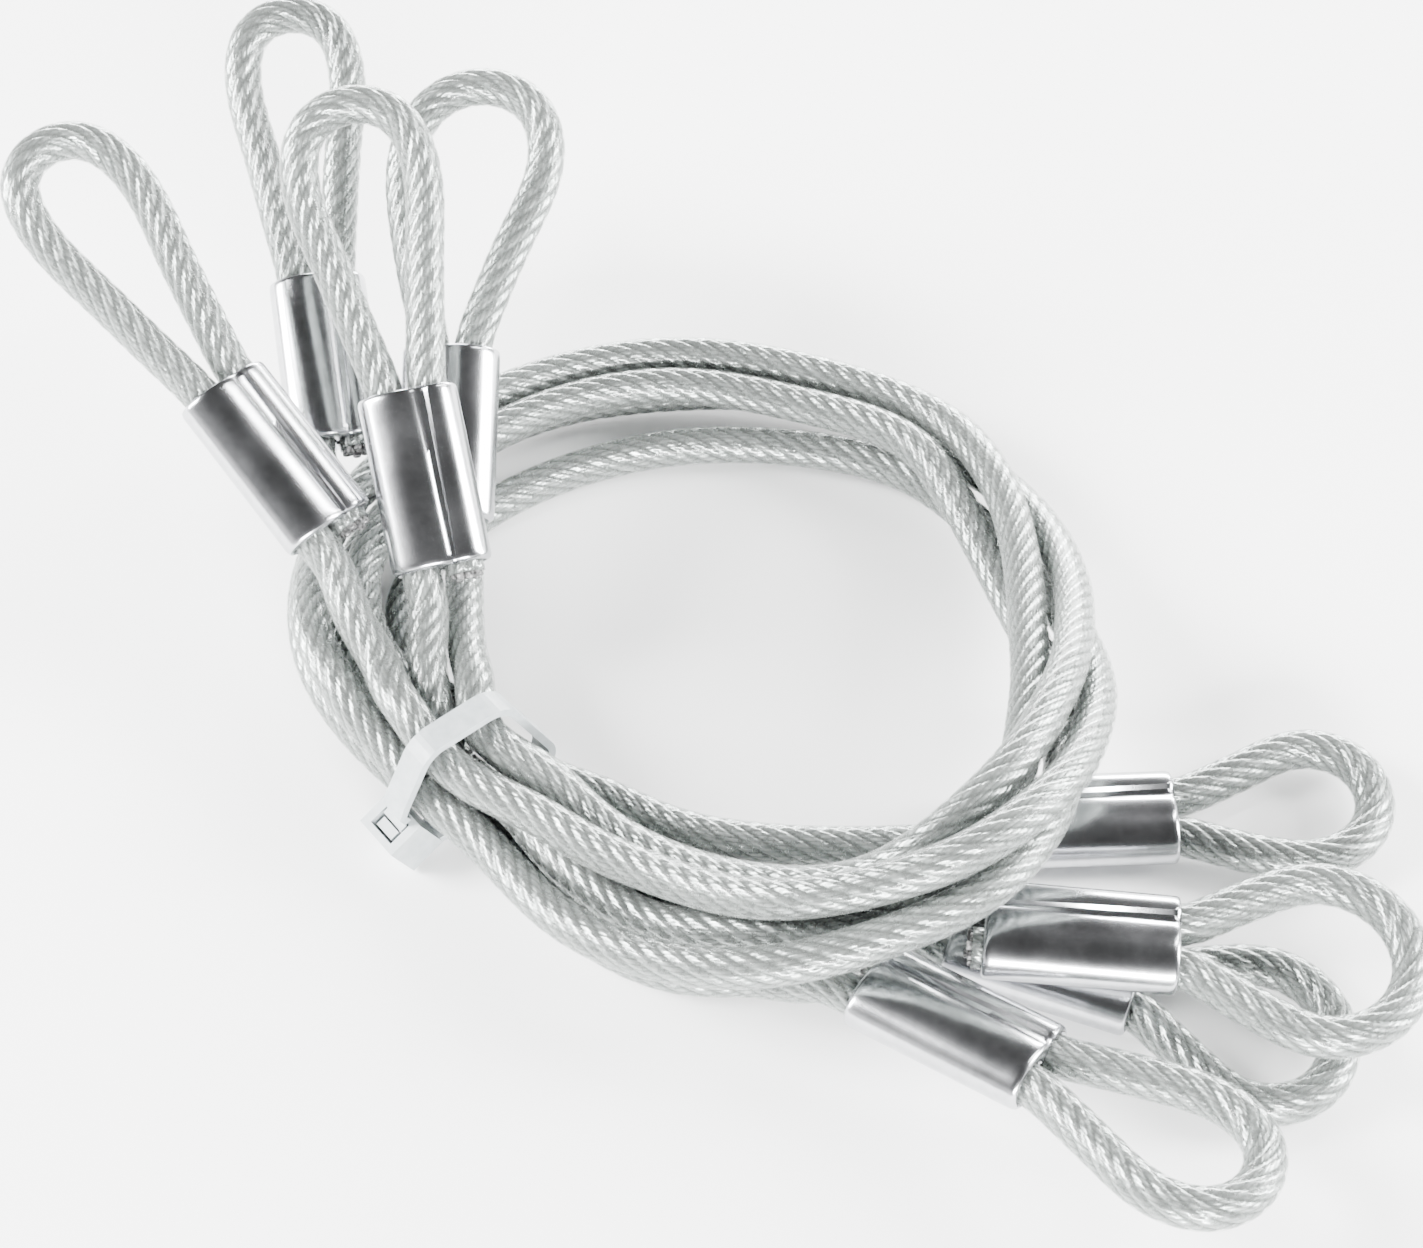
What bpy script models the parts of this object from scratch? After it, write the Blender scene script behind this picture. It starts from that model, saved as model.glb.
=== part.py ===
"""Four clear-coated wire rope slings, coiled into one flat ring and held by a cable tie.

Each sling is one rope with a soft eye at both ends. Every eye is closed by a pressed
double-barrel sleeve. The four start eyes stand up at the left of the ring and the four
end eyes lie on the ground at its right. Lengths below are in millimetres.
"""
import math

import bmesh
import bpy
import numpy as np

MM = 0.001
CENTRE = (0.10, 2.12, 0.19)        # moves the whole set so that its box stands centred on the origin

# Rope and sleeve sizes
ROPE_DIAMETER = 5.0
ROPE_STEP = 6.0
EYE_STEP = 3.0
END_STEP = 0.8
TUBE_SIDES = 2                   # bevel resolution: 8 sides
SLEEVE_LENGTH = 22.5
BARREL_OFFSET = 2.7              # half the distance between the two ropes in a sleeve
BARREL_RADIUS = 3.6
BORE_RADIUS = 2.75
BARREL_ARC = 128.57              # leaves one flat facet along the top and bottom of a barrel
VALLEY_HEIGHT = 2.8
BORE_ARC = 157.5
NECK_HEIGHT = 0.7
SLEEVE_CHAMFER = 0.35
TAIL_LENGTH = 1.2
PIVOT_BACK = 4.0                 # a start terminal bends in the rope this far behind its sleeve
LEAD = 4.0                       # straight rope on each side of a sleeve's entry
JOINT_GAP = 0.4                  # from a pivot to each rope end that meets there

# Cable tie sizes
TIE_ANGLE = 218.0
TIE_WIDTH = 3.6
TIE_THICKNESS = 1.0
TIE_CLEARANCE = 0.9
TIE_LOWEST = 0.4                 # lowest middle line of the strap, so that it clears the ground
HEAD_WIDTH = 6.6
HEAD_LENGTH = 6.4
HEAD_DEPTH = 5.0
HEAD_FLOOR = 0.9                 # head wall between the bundle and the strap slot
HEAD_STAND_OFF = 0.9             # from a strap lying tight on the ropes out to the head's slot
SLOT_CLEARANCE = 0.3
PAWL_DEPTH = 1.3
PAWL_LENGTH = 5.6

# The four ropes run round the ring twice. A station is (angle in degrees, radius, height).
# First pass: over the tie and along the front, each rope on its own.
FIRST_PASS = {
    "a": [(197, 34.1, 14.2), (202, 34.7, 13.6), (207, 35.2, 12.6), (218, 35.9, 9.0),
          (229, 34.7, 8.0), (240, 36.8, 7.7), (251, 40.2, 7.8), (262, 43.8, 8.2),
          (279, 48.6, 11.8)],
    "b": [(197, 44.8, 12.9), (202, 43.7, 11.7), (207, 42.4, 10.4), (218, 41.4, 9.2),
          (229, 40.9, 8.3), (240, 43.0, 8.4), (251, 47.2, 9.8), (262, 51.0, 11.6),
          (279, 55.4, 15.4)],
    "c": [(197, 39.6, 15.4), (202, 39.6, 15.8), (207, 39.3, 16.0), (218, 38.7, 14.0),
          (229, 37.6, 13.2), (240, 37.0, 13.1), (251, 38.4, 13.1), (262, 40.7, 13.6),
          (279, 47.6, 17.6)],
    "d": [(197, 28.8, 12.6), (202, 29.1, 13.4), (207, 29.9, 14.1), (218, 32.2, 14.1),
          (229, 31.9, 13.0), (240, 31.5, 11.2), (251, 33.2, 9.9), (262, 35.8, 9.9),
          (279, 42.4, 13.2)],
}
# The right side of the ring: the four ropes are laid round one another. Over the end
# sleeves they rise clear of them.
BUNDLE = [(295, 53.0, 18.3), (304, 54.0, 20.9), (313, 53.2, 21.6), (322, 51.6, 20.6),
          (331, 49.4, 18.8), (340, 47.6, 16.6), (349, 45.9, 14.1), (358, 44.8, 11.8),
          (367, 44.2, 9.8), (385, 44.2, 7.5), (394, 44.6, 6.8), (403, 45.0, 6.3)]
BUNDLE_SPREAD = 4.2              # from the middle of the bundle to each rope
BUNDLE_TWIST = -2.05             # degrees of twist for each degree round the ring
BUNDLE_END_ANGLE = 405.0
BUNDLE_CORNER = {"a": 45.0, "b": 135.0, "c": 225.0, "d": -45.0}
# Second pass: round the back, through the tie again and along the ground at the front.
SECOND_PASS = {
    "a": [(428, 47.0, 8.5), (452, 47.8, 8.2), (477, 48.4, 8.1), (502, 49.2, 8.1),
          (527, 50.0, 7.6), (540, 48.6, 6.8), (552, 45.6, 5.8), (565, 41.8, 4.8),
          (578, 38.9, 4.1), (589, 37.5, 3.3), (600, 39.7, 2.8), (611, 43.2, 2.8),
          (622, 46.5, 2.8), (630, 48.4, 3.5), (638, 50.0, 4.9)],
    "b": [(428, 41.2, 8.2), (452, 42.2, 8.1), (477, 42.8, 8.1), (502, 43.3, 8.1),
          (527, 43.3, 8.1), (540, 40.8, 8.2), (552, 37.0, 8.5), (565, 31.1, 8.8),
          (578, 30.3, 9.2), (589, 28.9, 8.3), (600, 29.0, 6.5), (611, 31.4, 4.7),
          (622, 34.8, 2.8), (630, 36.8, 2.9), (638, 38.4, 3.4)],
    "c": [(428, 38.2, 2.9), (452, 36.0, 2.7), (477, 35.6, 2.7), (502, 37.2, 2.7),
          (527, 38.2, 2.7), (552, 33.2, 3.0), (565, 29.6, 3.8), (578, 27.5, 4.1),
          (589, 26.1, 3.4), (600, 24.7, 2.8), (611, 24.9, 2.7), (622, 26.2, 2.7)],
    "d": [(428, 47.2, 3.0), (452, 45.9, 2.7), (477, 46.8, 2.7), (502, 46.9, 2.7),
          (527, 46.2, 2.7), (552, 40.0, 3.0), (565, 36.2, 3.7), (578, 33.2, 4.1),
          (589, 31.8, 3.3), (600, 33.7, 2.8), (611, 37.2, 2.8), (622, 40.6, 2.7),
          (638, 44.2, 2.7)],
}
# Terminals. entry: middle of the sleeve's rope end. aim: along the sleeve, towards the eye.
# flat: across both barrels' top. eye: length from the sleeve and width, outside. lean: how
# far the eye swings sideways, in degrees. legs: points between the sleeve and the ring.
# barrel: which barrel the rope body goes into.
START = {
    "a": dict(entry=(-31.0, 2.2, 18.0), aim=(-0.20, 0.80, 0.55), flat=(0.0, -0.5, 0.85),
              eye=(39.7, 20.0), lean=0, barrel=1, legs=[]),
    "b": dict(entry=(-45.8, 25.5, 15.6), aim=(-0.14, 0.90, 0.40), flat=(0.1, -0.4, 0.91),
              eye=(41.0, 18.4), lean=1, barrel=1,
              legs=[(-46.8, 13.0, 13.7), (-47.8, -1.0, 13.5)]),
    "c": dict(entry=(-44.9, 6.0, 21.2), aim=(-0.60, 0.66, 0.42), flat=(0.35, -0.35, 0.87),
              eye=(40.8, 19.5), lean=1.5, barrel=1, legs=[(-42.4, -3.6, 18.0)]),
    "d": dict(entry=(-31.6, 14.6, 12.8), aim=(0.03, 0.87, 0.47), flat=(0.0, -0.45, 0.9),
              eye=(38.3, 23.2), lean=5, barrel=-1, legs=[(-28.8, 2.5, 10.6)]),
}
END = {
    "a": dict(entry=(20.2, -53.2, 8.9), aim=(0.825, -0.56, 0.085), flat=(0.09, 0.148, 0.985),
              eye=(30.0, 21.0), lean=2, barrel=-1, legs=[(12.0, -51.6, 7.0)]),
    "b": dict(entry=(33.4, -47.3, 11.35), aim=(0.993, -0.116, 0.0), flat=(0, 0, 1),
              eye=(29.4, 26.0), lean=0, barrel=1, legs=[(19.0, -40.5, 6.9)]),
    "c": dict(entry=(36.0, -27.1, 3.8), aim=(1.0, 0.03, 0.0), flat=(0, 0, 1),
              eye=(27.5, 21.5), lean=-5, barrel=-1,
              legs=[(8.0, -28.9, 2.7), (21.0, -29.6, 2.8)]),
    "d": dict(entry=(30.8, -42.9, 3.75), aim=(0.93, -0.36, 0.0), flat=(0, 0, 1),
              eye=(26.6, 23.5), lean=3, barrel=-1, legs=[(19.0, -44.9, 2.8)]),
}
SLINGS = "abcd"


# ---------------------------------------------------------------- routes

def unit(vector):
    vector = np.array(vector, float)
    return vector / np.linalg.norm(vector)


def on_ring(angle, radius, height):
    turn = math.radians(angle)
    return np.array((radius * math.cos(turn), radius * math.sin(turn), height))


def in_bundle(angle, radius, height, corner):
    turn = math.radians(corner + BUNDLE_TWIST * (angle - BUNDLE_END_ANGLE))
    return on_ring(angle, radius + BUNDLE_SPREAD * math.cos(turn),
                   height + BUNDLE_SPREAD * math.sin(turn))


def smooth(points, step):
    """Natural cubic spline through the points, read at even steps."""
    points = np.array(points, float)
    stations = np.concatenate([[0.0], np.cumsum(np.linalg.norm(np.diff(points, axis=0), axis=1))])
    spans = np.diff(stations)
    matrix = np.eye(len(points))
    right_side = np.zeros_like(points)
    for i in range(1, len(points) - 1):
        matrix[i, i - 1:i + 2] = spans[i - 1], 2 * (spans[i - 1] + spans[i]), spans[i]
        right_side[i] = 6 * ((points[i + 1] - points[i]) / spans[i]
                             - (points[i] - points[i - 1]) / spans[i - 1])
    bend = np.linalg.solve(matrix, right_side)
    result = []
    for where in np.linspace(0, stations[-1], max(2, int(round(stations[-1] / step)) + 1)):
        i = min(np.searchsorted(stations, where, side="right") - 1, len(spans) - 1)
        ahead = stations[i + 1] - where
        behind = where - stations[i]
        result.append((bend[i] * ahead ** 3 + bend[i + 1] * behind ** 3) / (6 * spans[i])
                      + (points[i] / spans[i] - bend[i] * spans[i] / 6) * ahead
                      + (points[i + 1] / spans[i] - bend[i + 1] * spans[i] / 6) * behind)
    return np.array(result)


def distance_along(line):
    return np.concatenate([[0.0], np.cumsum(np.linalg.norm(np.diff(line, axis=0), axis=1))])


def cut(line, start, end, step):
    """The part of a line between two distances along it, read at even steps.

    One more point close to each end keeps the closed ends square to the rope.
    """
    along = distance_along(line)
    where = np.linspace(start, end, max(2, int(round((end - start) / step)) + 1))
    where = np.concatenate([where[:1], [start + END_STEP], where[1:-1], [end - END_STEP], where[-1:]])
    return np.stack([np.interp(where, along, line[:, i]) for i in range(3)], axis=1)


def terminal_axes(terminal):
    """Unit vectors along the sleeve, out of its flat side and across its two barrels."""
    aim = unit(terminal["aim"])
    flat = np.array(terminal["flat"], float)
    flat = unit(flat - aim * flat.dot(aim))
    return aim, flat, np.cross(flat, aim)


def barrel_entry(terminal, barrel):
    side = terminal_axes(terminal)[2]
    return np.array(terminal["entry"]) + side * BARREL_OFFSET * barrel


def rope_route(name):
    """From the mouth of the start sleeve, round the ring, to the mouth of the end sleeve."""
    start, end = START[name], END[name]
    aim_in, aim_out = terminal_axes(start)[0], terminal_axes(end)[0]
    entry_in = barrel_entry(start, start["barrel"])
    entry_out = barrel_entry(end, end["barrel"])
    points = [entry_in + aim_in * 2 * LEAD, entry_in + aim_in * LEAD, entry_in,
              entry_in - aim_in * LEAD]
    points += [np.array(point) for point in start["legs"]]
    points += [on_ring(*station) for station in FIRST_PASS[name]]
    points += [in_bundle(*station, BUNDLE_CORNER[name]) for station in BUNDLE]
    points += [on_ring(*station) for station in SECOND_PASS[name]]
    points += [np.array(point) for point in end["legs"]]
    points += [entry_out - aim_out * LEAD, entry_out, entry_out + aim_out * LEAD,
               entry_out + aim_out * 2 * LEAD]
    line = smooth(points, 1.0)
    lead = int(2 * LEAD) + 1
    return np.concatenate([[entry_in + aim_in * SLEEVE_LENGTH, entry_in], line[lead:-lead],
                           [entry_out, entry_out + aim_out * SLEEVE_LENGTH]])


def eye_route(terminal):
    """The loop, from the mouth of barrel +1 round to the mouth of barrel -1."""
    aim, _, side = terminal_axes(terminal)
    length = terminal["eye"][0] - ROPE_DIAMETER / 2
    half = (terminal["eye"][1] - ROPE_DIAMETER) / 2
    lean = math.radians(terminal["lean"])
    spare = half - BARREL_OFFSET
    straight = length - half
    limb = [(BARREL_OFFSET, 0), (BARREL_OFFSET + 0.2 * spare, 0.2 * straight),
            (BARREL_OFFSET + 0.7 * spare, 0.6 * straight), (half, straight),
            (0.72 * half, length - 0.3 * half), (0, length)]
    loop = limb + [(-across, along) for across, along in reversed(limb[:-1])]
    leaned = [(across * math.cos(lean * along / length)
               - along * math.sin(lean) * min(1, 1.5 * along / length), along)
              for across, along in loop]
    lead_in = [(BARREL_OFFSET, -6), (BARREL_OFFSET, -3)]
    lead_out = [(-BARREL_OFFSET, -3), (-BARREL_OFFSET, -6)]
    flat_line = smooth([(x, y, 0) for x, y in lead_in + leaned + lead_out], 1.0)
    flat_line = flat_line[flat_line[:, 1] >= 0]
    mouth = np.array(terminal["entry"]) + aim * SLEEVE_LENGTH
    return mouth + np.outer(flat_line[:, 0], side) + np.outer(flat_line[:, 1], aim)


def start_terminal_route(name):
    """From the pivot in the rope, through a barrel, round the eye and back to the cut tail."""
    start = START[name]
    aim = terminal_axes(start)[0]
    route = rope_route(name)
    leg = cut(route, SLEEVE_LENGTH, SLEEVE_LENGTH + PIVOT_BACK - JOINT_GAP, 1.0)[::-1]
    loop = eye_route(start)
    if start["barrel"] < 0:
        loop = loop[::-1]
    tail = barrel_entry(start, -start["barrel"]) - aim * TAIL_LENGTH
    return np.concatenate([leg, loop, [tail]])


def pivot_point(name):
    """Where a start terminal bends, and the rope's direction there."""
    route = rope_route(name)
    near = cut(route, SLEEVE_LENGTH + PIVOT_BACK - 1.0, SLEEVE_LENGTH + PIVOT_BACK + 1.0, 1.0)
    return near[len(near) // 2], unit(near[-1] - near[0])


# ---------------------------------------------------------------- object helpers

def clear_scene():
    for item in list(bpy.data.objects):
        bpy.data.objects.remove(item, do_unlink=True)


def make_material(name, colour, metallic, roughness):
    material = bpy.data.materials.new(name)
    material.use_nodes = True
    shader = material.node_tree.nodes["Principled BSDF"]
    shader.inputs["Base Color"].default_value = (*colour, 1.0)
    shader.inputs["Metallic"].default_value = metallic
    shader.inputs["Roughness"].default_value = roughness
    return material


def placed(point):
    return [(point[i] + CENTRE[i]) * MM for i in range(3)]


def add_tube(name, line, material, origin):
    """A rope with closed ends along the line, its object origin at the given point."""
    curve = bpy.data.curves.new(name, "CURVE")
    curve.dimensions = "3D"
    curve.bevel_depth = ROPE_DIAMETER / 2 * MM
    curve.bevel_resolution = TUBE_SIDES
    curve.render_resolution_u = 0
    curve.use_fill_caps = True
    spline = curve.splines.new("POLY")
    spline.points.add(len(line) - 1)
    for point, position in zip(spline.points, line):
        point.co = (*[(position[i] - origin[i]) * MM for i in range(3)], 1.0)
    spline.use_smooth = True
    tube = bpy.data.objects.new(name, curve)
    tube.location = placed(origin)
    curve.materials.append(material)
    bpy.context.scene.collection.objects.link(tube)
    return tube


def add_mesh(name, mesh_maker, material, origin, smooth_shading):
    """A closed mesh object, its vertices given in millimetres of the shared frame."""
    mesh = bpy.data.meshes.new(name)
    shape = mesh_maker()
    for vertex in shape.verts:
        vertex.co = [(vertex.co[i] - origin[i]) * MM for i in range(3)]
    bmesh.ops.recalc_face_normals(shape, faces=shape.faces)
    shape.to_mesh(mesh)
    shape.free()
    for face in mesh.polygons:
        face.use_smooth = smooth_shading
    if smooth_shading:
        mesh.set_sharp_from_angle(angle=math.radians(35))
    piece = bpy.data.objects.new(name, mesh)
    piece.location = placed(origin)
    mesh.materials.append(material)
    bpy.context.scene.collection.objects.link(piece)
    return piece


def bridge(shape, ring_one, ring_two):
    count = len(ring_one)
    for i in range(count):
        j = (i + 1) % count
        shape.faces.new((ring_one[i], ring_one[j], ring_two[j], ring_two[i]))


# ---------------------------------------------------------------- sleeves

def figure_eight(radius, waist, reach, inset=0.0):
    """Outline of two round barrels side by side, joined by a waist of the given half height.

    reach: how far each barrel's arc goes to both sides of its outermost point, in degrees.
    """
    outline = []
    for sign in (1, -1):
        outline.append((0.0, -sign * (waist - inset)))
        for step in range(-5, 6):
            angle = math.radians(reach * step / 5)
            outline.append((sign * (BARREL_OFFSET + (radius - inset) * math.cos(angle)),
                            sign * (radius - inset) * math.sin(angle)))
    return outline


def sleeve_mesh(terminal):
    aim, flat, side = terminal_axes(terminal)
    entry = np.array(terminal["entry"])
    shape = bmesh.new()

    def ring(outline, along):
        return [shape.verts.new(entry + side * x + flat * y + aim * along) for x, y in outline]

    outside = [ring(figure_eight(BARREL_RADIUS, VALLEY_HEIGHT, BARREL_ARC, inset), along)
               for inset, along in ((SLEEVE_CHAMFER, 0.0), (0.0, SLEEVE_CHAMFER),
                                    (0.0, SLEEVE_LENGTH - SLEEVE_CHAMFER),
                                    (SLEEVE_CHAMFER, SLEEVE_LENGTH))]
    bore = [ring(figure_eight(BORE_RADIUS, NECK_HEIGHT, BORE_ARC), along) for along in (0.0, SLEEVE_LENGTH)]
    for one, two in zip(outside[:-1], outside[1:]):
        bridge(shape, one, two)
    bridge(shape, bore[0], bore[1])
    bridge(shape, outside[0], bore[0])
    bridge(shape, outside[3], bore[1])
    return shape


# ---------------------------------------------------------------- cable tie

def tie_plane():
    """The cut through the ring at the tie: outward, up and along-the-rope unit vectors."""
    turn = math.radians(TIE_ANGLE)
    outward = np.array((math.cos(turn), math.sin(turn), 0.0))
    return outward, np.array((0.0, 0.0, 1.0)), np.array((-math.sin(turn), math.cos(turn), 0.0))


def tie_centres():
    """Radius and height of the eight rope crossings under the tie."""
    centres = []
    for name in SLINGS:
        for stations in (FIRST_PASS[name], SECOND_PASS[name]):
            centres += [(radius, height) for angle, radius, height in stations
                        if angle % 360 == TIE_ANGLE]
    return np.array(centres)


def tie_outline():
    """A tight convex line round the eight ropes, from below the head round and back to it."""
    centres = tie_centres()
    reach = ROPE_DIAMETER / 2 + TIE_CLEARANCE + TIE_THICKNESS / 2
    points = []
    for degrees in range(-20, -350, -10):
        direction = np.array((math.cos(math.radians(degrees)), math.sin(math.radians(degrees))))
        radius, height = centres[(centres @ direction).argmax()] + reach * direction
        points.append((radius, max(height, TIE_LOWEST)))
    return np.array(points)


def head_frame():
    """Middle of the strap inside the head, the strap's way through it and the way out."""
    centres = tie_centres()
    reach = ROPE_DIAMETER / 2 + TIE_CLEARANCE + TIE_THICKNESS / 2
    upper = centres[(centres @ np.array((0.98, 0.2))).argmax()]
    lower = centres[(centres @ np.array((0.8, -0.6))).argmax()]
    through = unit(upper - lower)
    out = np.array((through[1], -through[0]))
    middle = (upper + lower) / 2 + out * (reach + HEAD_STAND_OFF)
    return middle, through, out


def in_tie_plane(points, along_rope):
    outward, up, rope_way = tie_plane()
    return [outward * radius + up * height + rope_way * along_rope for radius, height in points]


def strap_line():
    """Middle line of the strap in the tie plane, from its root to its cut end.

    The root stands on the head's upper face. The strap goes over the ropes, round under
    them and up through the head, where it is cut off flush.
    """
    middle, through, out = head_frame()
    half = HEAD_LENGTH / 2
    root = [middle - out * HEAD_STAND_OFF + through * (half + gap) for gap in (0.1, 1.4)]
    enter = [middle - through * (half + gap) for gap in (1.2, 0.4)]
    cut_end = middle + through * (half - 0.05)
    outline = [point for point in tie_outline()
               if (point - middle) @ through > half + 2.4
               or (point - middle) @ through < -half - 2.4
               or point[0] < middle[0] - 6.0]
    return np.array([*root, *outline[::-1], *enter, cut_end])


def strap_mesh():
    line = strap_line()
    ways = np.gradient(line, axis=0)
    ways /= np.linalg.norm(ways, axis=1)[:, None]
    shape = bmesh.new()
    rings = []
    for point, way in zip(line, ways):
        normal = np.array((-way[1], way[0]))
        inner, outer = point - normal * TIE_THICKNESS / 2, point + normal * TIE_THICKNESS / 2
        corners = (in_tie_plane([inner, outer], TIE_WIDTH / 2)
                   + in_tie_plane([outer, inner], -TIE_WIDTH / 2))
        rings.append([shape.verts.new(corner) for corner in corners])
    for one, two in zip(rings[:-1], rings[1:]):
        bridge(shape, one, two)
    shape.faces.new(rings[0])
    shape.faces.new(rings[-1][::-1])
    return shape


def head_mesh():
    """A block with one passage for the strap and, outside it, the pawl."""
    middle, through, out = head_frame()
    passage_in = TIE_THICKNESS / 2 + SLOT_CLEARANCE
    passage_out = passage_in + PAWL_DEPTH + SLOT_CLEARANCE
    shape = bmesh.new()

    def loop(along, inner, outer, half_width):
        low, high = middle + through * along - out * inner, middle + through * along + out * outer
        corners = in_tie_plane([low, high], half_width) + in_tie_plane([high, low], -half_width)
        return [shape.verts.new(corner) for corner in corners]

    ends = (-HEAD_LENGTH / 2, HEAD_LENGTH / 2)
    inner = passage_in + HEAD_FLOOR
    skin = [loop(along, inner, HEAD_DEPTH - inner, HEAD_WIDTH / 2) for along in ends]
    passage = [loop(along, passage_in, passage_out, TIE_WIDTH / 2 + SLOT_CLEARANCE)
               for along in ends]
    bridge(shape, skin[0], skin[1])
    bridge(shape, passage[0], passage[1])
    bridge(shape, skin[0], passage[0])
    bridge(shape, skin[1], passage[1])
    return shape


def pawl_mesh():
    """A tongue beside the strap, thicker towards its free end."""
    middle, through, out = head_frame()
    near = TIE_THICKNESS / 2 + SLOT_CLEARANCE
    far = near + PAWL_DEPTH
    shape = bmesh.new()
    rings = []
    for along, inner in ((-PAWL_LENGTH / 2, near + 0.5), (0.0, near + 0.3), (PAWL_LENGTH / 2, near)):
        low, high = middle + through * along + out * inner, middle + through * along + out * far
        half = TIE_WIDTH / 2 - 0.3
        corners = in_tie_plane([low, high], half) + in_tie_plane([high, low], -half)
        rings.append([shape.verts.new(corner) for corner in corners])
    bridge(shape, rings[0], rings[1])
    bridge(shape, rings[1], rings[2])
    shape.faces.new(rings[0])
    shape.faces.new(rings[-1][::-1])
    return shape


def pawl_pivot():
    middle, through, out = head_frame()
    root = middle - through * PAWL_LENGTH / 2 + out * (TIE_THICKNESS / 2 + SLOT_CLEARANCE + PAWL_DEPTH - 0.4)
    return in_tie_plane([root], 0.0)[0]


# ---------------------------------------------------------------- assembly

def build_sling(name, coat, metal):
    route = rope_route(name)
    total = distance_along(route)[-1]
    rope = cut(route, SLEEVE_LENGTH + PIVOT_BACK + JOINT_GAP, total - JOINT_GAP, ROPE_STEP)
    add_tube("rope_" + name, rope, coat, rope[0])

    terminal = start_terminal_route(name)
    pivot = pivot_point(name)[0]
    line = cut(terminal, 0.0, distance_along(terminal)[-1], EYE_STEP)
    add_tube(f"eye_{name}_start", line, coat, pivot)
    add_mesh(f"sleeve_{name}_start", lambda: sleeve_mesh(START[name]), metal, pivot, True)

    end = END[name]
    aim = terminal_axes(end)[0]
    mouth = np.array(end["entry"]) + aim * SLEEVE_LENGTH
    loop = eye_route(end)
    line = cut(loop, JOINT_GAP, distance_along(loop)[-1] - JOINT_GAP, EYE_STEP)
    add_tube(f"eye_{name}_end", line, coat, mouth)
    add_mesh(f"sleeve_{name}_end", lambda: sleeve_mesh(end), metal, end["entry"], True)
    tail_entry = barrel_entry(end, -end["barrel"])
    tail = [tail_entry + aim * (SLEEVE_LENGTH - JOINT_GAP), tail_entry - aim * TAIL_LENGTH]
    add_tube(f"tail_{name}_end", tail, coat, tail_entry)


def build_tie(nylon):
    middle = in_tie_plane([head_frame()[0]], 0.0)[0]
    add_mesh("tie_strap", strap_mesh, nylon, middle, False)
    add_mesh("tie_head", head_mesh, nylon, middle, False)
    add_mesh("tie_pawl", pawl_mesh, nylon, pawl_pivot(), False)


clear_scene()
rope_coat = make_material("coated_rope", (0.62, 0.64, 0.64), 0.0, 0.22)
aluminium = make_material("aluminium", (0.78, 0.78, 0.80), 1.0, 0.28)
white_nylon = make_material("nylon", (0.85, 0.86, 0.86), 0.0, 0.4)
for sling in SLINGS:
    build_sling(sling, rope_coat, aluminium)
build_tie(white_nylon)
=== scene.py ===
"""Four clear-coated wire rope slings in a tied ring: strands, coats, sleeves, tie and studio."""

import math

import bmesh
import bpy
import numpy as np
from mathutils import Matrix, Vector


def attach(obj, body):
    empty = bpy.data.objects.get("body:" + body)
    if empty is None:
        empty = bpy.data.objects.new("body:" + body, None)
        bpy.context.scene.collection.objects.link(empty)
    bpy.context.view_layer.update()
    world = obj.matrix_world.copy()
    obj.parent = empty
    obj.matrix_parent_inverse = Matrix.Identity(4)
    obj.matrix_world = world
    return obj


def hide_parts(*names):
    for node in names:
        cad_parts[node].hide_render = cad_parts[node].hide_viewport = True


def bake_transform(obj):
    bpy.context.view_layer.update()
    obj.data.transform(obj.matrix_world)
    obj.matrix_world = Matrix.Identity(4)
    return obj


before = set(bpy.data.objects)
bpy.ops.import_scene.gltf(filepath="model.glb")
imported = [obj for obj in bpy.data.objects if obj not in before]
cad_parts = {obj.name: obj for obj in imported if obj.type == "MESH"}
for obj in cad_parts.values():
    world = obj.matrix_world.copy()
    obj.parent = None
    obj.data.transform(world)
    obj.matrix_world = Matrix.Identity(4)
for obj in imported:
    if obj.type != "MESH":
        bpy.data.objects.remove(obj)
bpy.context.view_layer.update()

MM = 0.001
CENTRE = (0.10, 2.12, 0.19)      # where the ring's own origin lies in the row frame, in millimetres

# Rope
ROPE_DIAMETER = 5.0
SLEEVE_LENGTH = 22.5
BARREL_OFFSET = 2.7              # half the distance between the two ropes in a sleeve
LEAD = 4.0                       # straight rope on each side of a sleeve's entry
TAIL_LENGTH = 1.2
TIE_ANGLE = 218
RING_STEP = 0.6                  # from one ring of core vertices to the next
SMOOTHING_PASSES = 3
AROUND = 108                     # core vertices round the rope: four for each wire
COAT_AROUND = 24
COAT_STEP = 2                    # rings of the core for each ring of the coat
STRANDS = 9
LAY = 25.0                       # one turn of a strand
WIRES_AROUND = 27
WIRE_SHIFT = 0.37                # of a wire, from one strand to the next
WIRE_DRIFT = 0.02                # of a wire, for each radian that the strands turn
CORE_RADIUS = 2.44               # as seen through the coat, which magnifies it
GROOVE_DEPTH = 0.42
GROOVE_SHARPNESS = 2.2
WIRE_DEPTH = 0.06
START_BEND = (8.0, 1.3)          # two distances behind the start sleeve's entry
END_BEND = 5.0                   # a length beyond the end sleeve's mouth
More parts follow.
